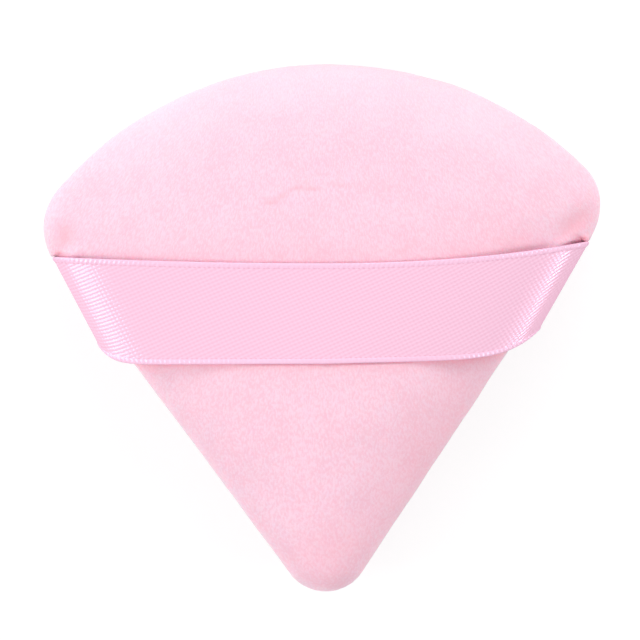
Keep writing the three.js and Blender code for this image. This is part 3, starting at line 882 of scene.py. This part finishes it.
class Nodes:
    """A short way to add and join shader nodes."""

    def __init__(self, tree):
        self.tree = tree

    def put(self, socket, value):
        """Join an input to another node's output, or give it a constant."""
        if isinstance(value, bpy.types.NodeSocket):
            self.tree.links.new(value, socket)
        else:
            socket.default_value = value

    def add(self, kind, inputs=None, **settings):
        """A node with its settings, and its inputs by name or number."""
        node = self.tree.nodes.new(kind)
        for key, value in settings.items():
            setattr(node, key, value)
        for key, value in (inputs or {}).items():
            self.put(node.inputs[key], value)
        return node

    def math(self, operation, *values):
        """One step of arithmetic."""
        return self.add("ShaderNodeMath", dict(enumerate(values)), operation=operation).outputs[0]

    def weighed(self, *pairs):
        """The sum of values, each times its weight."""
        total, *others = [self.math("MULTIPLY", value, weight) for value, weight in pairs]
        for other in others:
            total = self.math("ADD", total, other)
        return total

    def ranged(self, value, low, high):
        """How far a value is on its way from low to high, from nothing to one."""
        inputs = {"Value": value, "From Min": low, "From Max": high}
        return self.add("ShaderNodeMapRange", inputs).outputs[0]

    def mix(self, share, first, second):
        """A colour between two. Colours are a mix node's inputs 6 and 7 and its output 2."""
        inputs = {"Factor": share, 6: first, 7: second}
        return self.add("ShaderNodeMix", inputs, data_type="RGBA").outputs[2]

    def noise(self, place, scale, detail):
        """Soft noise, from nothing to one."""
        inputs = {"Vector": place, "Scale": scale, "Detail": detail}
        return self.add("ShaderNodeTexNoise", inputs).outputs["Fac"]

    def place(self):
        """The shaded point's place on the piece."""
        return self.add("ShaderNodeTexCoord").outputs["Object"]

    def bump(self, relief, settings):
        """A normal that a relief tips, by a finish's strength and height."""
        inputs = {"Height": relief, "Strength": settings["strength"], "Distance": settings["height"]}
        return self.add("ShaderNodeBump", inputs).outputs[0]


def new_material(name):
    """An empty material, its nodes and its shader."""
    material = bpy.data.materials.new(name)
    material.use_nodes = True
    material.node_tree.nodes.clear()
    nodes = Nodes(material.node_tree)
    shader = nodes.add("ShaderNodeBsdfPrincipled")
    output = nodes.add("ShaderNodeOutputMaterial")
    material.node_tree.links.new(shader.outputs[0], output.inputs[0])
    return material, nodes, shader


def set_inputs(nodes, shader, **values):
    """The shader's inputs by name, with an underscore for each space."""
    for key, value in values.items():
        nodes.put(shader.inputs[key.replace("_", " ")], value)


def velour_material():
    """Short cut pile: fine strokes that lie along the puff, over slow patches where the nap leans."""
    material, nodes, shader = new_material("velour")
    place = nodes.place()
    axes = nodes.add("ShaderNodeSeparateXYZ", {0: place}).outputs
    spread = nodes.math("DIVIDE", NAP_FAN, nodes.math("SUBTRACT", NAP_FAN, axes[1]))
    fanned_x = nodes.math("MULTIPLY", axes[0], spread)
    fanned = nodes.add("ShaderNodeCombineXYZ", {0: fanned_x, 1: axes[1], 2: axes[2]}).outputs[0]
    stretched = nodes.add("ShaderNodeMapping", {"Vector": fanned, "Scale": NAP_STRETCH}).outputs[0]
    strokes = nodes.noise(stretched, **NAP_STROKES)
    fine = nodes.noise(place, **NAP_FINE)
    patches = nodes.noise(place, **NAP_PATCHES)
    mixed = nodes.weighed((strokes, NAP_TONE["strokes"]), (fine, NAP_TONE["fine"]),
                          (patches, NAP_TONE["patches"]))
    tone = nodes.ranged(mixed, *NAP_TONE["range"])
    nap = nodes.weighed((strokes, NAP_BUMP["strokes"]), (fine, NAP_BUMP["fine"]))
    # Painted shading on the front: painted shade above nothing, painted light below it.
    painted_shading = nodes.add("ShaderNodeAttribute", attribute_name="painted_shading").outputs["Fac"]
    napped = nodes.mix(tone, VELOUR_DEEP, VELOUR_PALE)
    # Painted light: a paler pile colour where the painted shading is below nothing.
    painted_light = nodes.mix(nodes.math("MULTIPLY", painted_shading, -1), napped, VELOUR_PAINTED_LIGHT)
    # Painted shade: a redder pile colour where the painted shading is above nothing.
    set_inputs(nodes, shader, Base_Color=nodes.mix(painted_shading, painted_light, VELOUR_PAINTED_SHADE),
               Normal=nodes.bump(nap, NAP_BUMP), **VELOUR_FINISH)
    return material


def satin_material():
    """Warp satin: rows of floats at a slant, with corded selvedges."""
    material, nodes, shader = new_material("satin")
    weave = nodes.add("ShaderNodeAttribute", attribute_name="weave").outputs["Vector"]
    split = nodes.add("ShaderNodeSeparateXYZ", {0: weave})
    along, across = split.outputs[0], split.outputs[1]
    row = nodes.weighed((along, 1 / FLOAT_LENGTH), (across, FLOAT_SLANT))
    column = nodes.weighed((row, BINDING_STEP), (across, -1 / WARP_PITCH))
    waves = [nodes.math("COSINE", nodes.math("MULTIPLY", x, math.tau)) for x in (row, column)]
    floats = nodes.weighed((waves[0], ROW_SHARE), (waves[1], 1 - ROW_SHARE))
    tone = nodes.ranged(floats, *FLOAT_TONE)
    edge = nodes.math("MINIMUM", across, nodes.math("SUBTRACT", RIBBON_WIDTH, across))
    in_selvedge = nodes.math("LESS_THAN", edge, SELVEDGE)
    off_row = nodes.math("ABSOLUTE", nodes.math("SUBTRACT", edge, DOT_ROW))
    on_row = nodes.math("LESS_THAN", off_row, DOT_SIZE / 2)
    beat = nodes.math("COSINE", nodes.math("MULTIPLY", along, math.tau / RIB_PITCH))
    dots = nodes.math("MULTIPLY", on_row, nodes.math("GREATER_THAN", beat, DOT_BEAT))
    woven = nodes.mix(tone, SATIN_DEEP, SATIN_PALE)
    dotted = nodes.mix(nodes.math("MULTIPLY", dots, DOT_SHARE), woven, SATIN_DOT)
    roughness = nodes.math("MULTIPLY_ADD", in_selvedge, SELVEDGE_ROUGHER, SATIN_ROUGHNESS)
    warp = nodes.add("ShaderNodeTangent", direction_type="UV_MAP", uv_map="weave_map").outputs[0]
    set_inputs(nodes, shader, Base_Color=nodes.mix(in_selvedge, dotted, SELVEDGE_PALE),
               Normal=nodes.bump(tone, FLOAT_BUMP), Roughness=roughness, Tangent=warp, **SATIN_FINISH)
    return material


def sponge_material():
    """Open-cell foam."""
    material, nodes, shader = new_material("sponge")
    inputs = {"Vector": nodes.place(), "Scale": SPONGE_CELLS["scale"]}
    cells = nodes.add("ShaderNodeTexVoronoi", inputs).outputs["Distance"]
    shade = nodes.ranged(cells, *SPONGE_CELLS["shade"])
    set_inputs(nodes, shader, Base_Color=nodes.mix(shade, SPONGE_DEEP, SPONGE_PALE),
               Normal=nodes.bump(cells, SPONGE_CELLS), Roughness=SPONGE_ROUGHNESS)
    return material


def thread_material():
    """Twisted polyester thread."""
    material, nodes, shader = new_material("thread")
    inputs = {"Vector": nodes.place(), "Scale": THREAD_TWIST["scale"],
              "Distortion": THREAD_TWIST["distortion"]}
    twist = nodes.add("ShaderNodeTexWave", inputs, bands_direction="DIAGONAL").outputs["Fac"]
    set_inputs(nodes, shader, Base_Color=nodes.mix(twist, THREAD_DEEP, THREAD_PALE),
               Normal=nodes.bump(twist, THREAD_TWIST), Roughness=THREAD_ROUGHNESS)
    return material


def dress(piece, nodes):
    """Hide the solids that a piece replaces."""
    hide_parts(*nodes)
    return piece


velour = velour_material()
satin = satin_material()
foam = sponge_material()
thread = thread_material()

front = cover("front_velour", FRONT_CROWN, CROWN_DEPTH, 1, front_relief, velour, painted_shading_at)
back = cover("back_velour", BACK_CROWN, REST_FACE_DEPTH, -1, back_relief, velour)
dress(front, ["front_cover"])
dress(back, ["back_cover"])
core = dress(sponge(foam), ["sponge_core"])
needle = dress(seam_thread("needle_stitches", 1, thread), ["needle_thread"])
bobbin = dress(seam_thread("bobbin_stitches", -1, thread), ["bobbin_thread"])
closing = dress(closing_stitches(thread), ["closing_thread"])
for piece in (front, back, core, needle, bobbin, closing):
    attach(piece, "puff")

RIBBON_POINTS, ALONG, ACROSS, HALF = ribbon_grid()
RIBBON_NORMALS = -grid_normals(RIBBON_POINTS)


def half_rows(rows):
    """The ribbon's points, their places in the weave and their normals in a span of rows."""
    return RIBBON_POINTS[rows], ALONG[rows], ACROSS[rows], RIBBON_NORMALS[rows]


def blend_half(piece):
    """Bake the half's place into its mesh."""
    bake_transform(piece)


left_rows, right_rows = slice(0, HALF + 1), slice(HALF, None)
left_half = ribbon_half("ribbon_left_half", half_rows(left_rows), satin)
right_half = ribbon_half("ribbon_right_half", half_rows(right_rows), satin)
dress(left_half, ["ribbon_strap", "ribbon_left_tail"])
dress(right_half, ["ribbon_right_tail"])
blend_half(left_half)
blend_half(right_half)


def camera():
    """A long lens straight above the puff, framed as the photograph is."""
    data = bpy.data.cameras.new("camera")
    data.lens = LENS
    data.sensor_width = SENSOR
    data.clip_start, data.clip_end = CLIP
    rig = bpy.data.objects.new("camera", data)
    distance = FRAME_WIDTH * LENS / SENSOR
    rig.location = (FRAME_MIDDLE[0] * MM, FRAME_MIDDLE[1] * MM, (SEAM_Z + distance) * MM)
    bpy.context.scene.collection.objects.link(rig)
    bpy.context.scene.camera = rig


def lamp(name, azimuth, elevation, distance, size, power):
    """A soft box aimed at the puff. Azimuth 0 is from the right and 90 from the curved edge."""
    data = bpy.data.lights.new(name, "AREA")
    data.shape = "RECTANGLE"
    data.size, data.size_y = size
    data.energy = power
    rig = bpy.data.objects.new(name, data)
    a, e = math.radians(azimuth), math.radians(elevation)
    rig.location = (distance * math.cos(a) * math.cos(e), distance * math.sin(a) * math.cos(e),
                    distance * math.sin(e))
    rig.rotation_mode = "QUATERNION"
    rig.rotation_quaternion = rig.location.to_track_quat("Z", "Y")
    bpy.context.scene.collection.objects.link(rig)


def seen_ray(nodes):
    """One where the camera, a reflection or a see-through piece looks, nothing where light is gathered."""
    path = nodes.add("ShaderNodeLightPath")
    seen = nodes.math("MAXIMUM", path.outputs["Is Camera Ray"], path.outputs["Is Glossy Ray"])
    return nodes.math("MAXIMUM", seen, path.outputs["Is Transmission Ray"])


def world():
    """White all round to the camera, and a softer light on the puff."""
    made = bpy.data.worlds.new("studio")
    made.use_nodes = True
    bpy.context.scene.world = made
    nodes = Nodes(made.node_tree)
    background = made.node_tree.nodes["Background"]
    background.inputs["Color"].default_value = WHITE
    lift = nodes.math("MULTIPLY", seen_ray(nodes), 1 - WORLD_LEVEL)
    made.node_tree.links.new(nodes.math("ADD", lift, WORLD_LEVEL), background.inputs["Strength"])


def floor():
    """A white floor that shows a pale shadow to the camera and bounces light like white card."""
    material = bpy.data.materials.new("white_floor")
    material.use_nodes = True
    material.node_tree.nodes.clear()
    nodes = Nodes(material.node_tree)
    card = nodes.add("ShaderNodeBsdfDiffuse", {"Color": FLOOR_BOUNCE})
    shaded = nodes.add("ShaderNodeBsdfDiffuse", {"Color": FLOOR_SHADED})
    glow = nodes.add("ShaderNodeEmission", {"Strength": FLOOR_GLOW})
    bright = nodes.add("ShaderNodeAddShader", {0: shaded.outputs[0], 1: glow.outputs[0]})
    inputs = {0: seen_ray(nodes), 1: card.outputs[0], 2: bright.outputs[0]}
    mixed = nodes.add("ShaderNodeMixShader", inputs)
    nodes.add("ShaderNodeOutputMaterial", {0: mixed.outputs[0]})
    mesh = bpy.data.meshes.new("floor")
    half = FLOOR_SIZE / 2
    corners = [(-half, -half, 0), (half, -half, 0), (half, half, 0), (-half, half, 0)]
    mesh.from_pydata(corners, [], [(0, 1, 2, 3)])
    mesh.materials.append(material)
    plane = bpy.data.objects.new("floor", mesh)
    bpy.context.scene.collection.objects.link(plane)


camera()
world()
floor()
for settings in LAMPS:
    lamp(*settings)
bpy.context.scene.view_settings.view_transform = "Standard"
